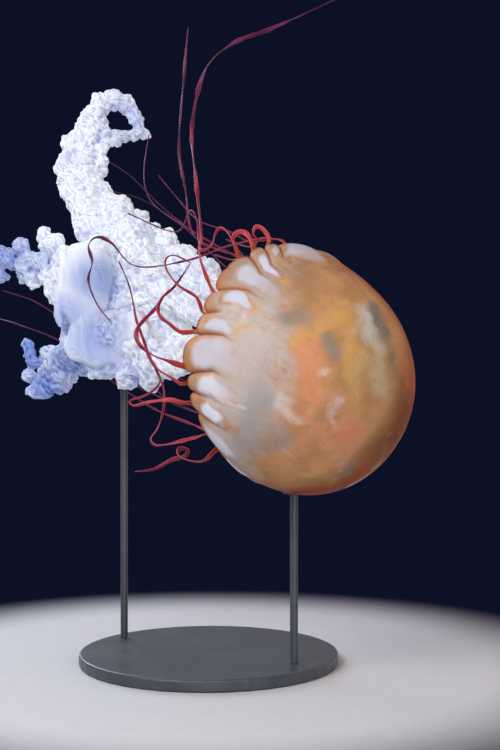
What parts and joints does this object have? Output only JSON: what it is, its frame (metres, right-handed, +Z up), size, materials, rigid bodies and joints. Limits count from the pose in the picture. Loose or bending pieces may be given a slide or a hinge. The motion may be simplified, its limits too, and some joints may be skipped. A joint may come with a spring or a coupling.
{
  "type": "sea nettle jellyfish model",
  "caption": "Still, life-size sea nettle jellyfish swimming on its side: domed bell, frilled mouth arms and long curling tentacles, held over a round base by thin rods.",
  "frame": {"origin": "centre of the underside of the stand's round base", "axes": "+Z up; the bell's apex points to +X, down and toward -Y, and the arms and tentacles trail toward -X, up and toward +Y"},
  "size_m": [0.4738, 0.5241, 0.7035],
  "materials": {
    "bell": "smooth and moist, translucent gold and tan, milky near the margin",
    "manubrium": "smooth and moist",
    "oral_arm": "soft, frilled, white",
    "tentacle": "smooth and moist, orange at the root to dark red at the tip",
    "stand": "satin dark grey paint"
  },
  "bodies": {
    "root": {"bell": "bell", "manubrium": "manubrium", "oral_arm_back_1": "oral_arm", "oral_arm_back_2": "oral_arm", "oral_arm_left_1": "oral_arm", "oral_arm_left_2": "oral_arm", "oral_arm_low_1": "oral_arm", "oral_arm_low_2": "oral_arm", "oral_arm_up_1": "oral_arm", "oral_arm_up_2": "oral_arm", "oral_arm_up_3": "oral_arm", "stand_base": "stand", "stand_rod_arm": "stand", "stand_rod_bell": "stand", "tentacle_01_1": "tentacle", "tentacle_02_1": "tentacle", "tentacle_03_1": "tentacle", "tentacle_03_2": "tentacle", "tentacle_04_1": "tentacle", "tentacle_04_2": "tentacle", "tentacle_05_1": "tentacle", "tentacle_06_1": "tentacle", "tentacle_07_1": "tentacle", "tentacle_07_2": "tentacle", "tentacle_08_1": "tentacle", "tentacle_08_2": "tentacle", "tentacle_09_1": "tentacle", "tentacle_09_2": "tentacle", "tentacle_10_1": "tentacle", "tentacle_10_2": "tentacle", "tentacle_11_1": "tentacle", "tentacle_11_2": "tentacle", "tentacle_12_1": "tentacle", "tentacle_12_2": "tentacle", "tentacle_13_1": "tentacle", "tentacle_13_2": "tentacle", "tentacle_14_1": "tentacle", "tentacle_14_2": "tentacle", "tentacle_15_1": "tentacle", "tentacle_15_2": "tentacle", "tentacle_16_1": "tentacle", "tentacle_16_2": "tentacle", "tentacle_17_1": "tentacle", "tentacle_17_2": "tentacle", "tentacle_18_1": "tentacle", "tentacle_18_2": "tentacle", "tentacle_19_1": "tentacle", "tentacle_19_2": "tentacle", "tentacle_20_1": "tentacle", "tentacle_20_2": "tentacle", "tentacle_21_1": "tentacle", "tentacle_21_2": "tentacle", "tentacle_22_1": "tentacle", "tentacle_23_1": "tentacle", "tentacle_23_2": "tentacle", "tentacle_24_1": "tentacle", "tentacle_24_2": "tentacle"}
  },
  "joints": []
}
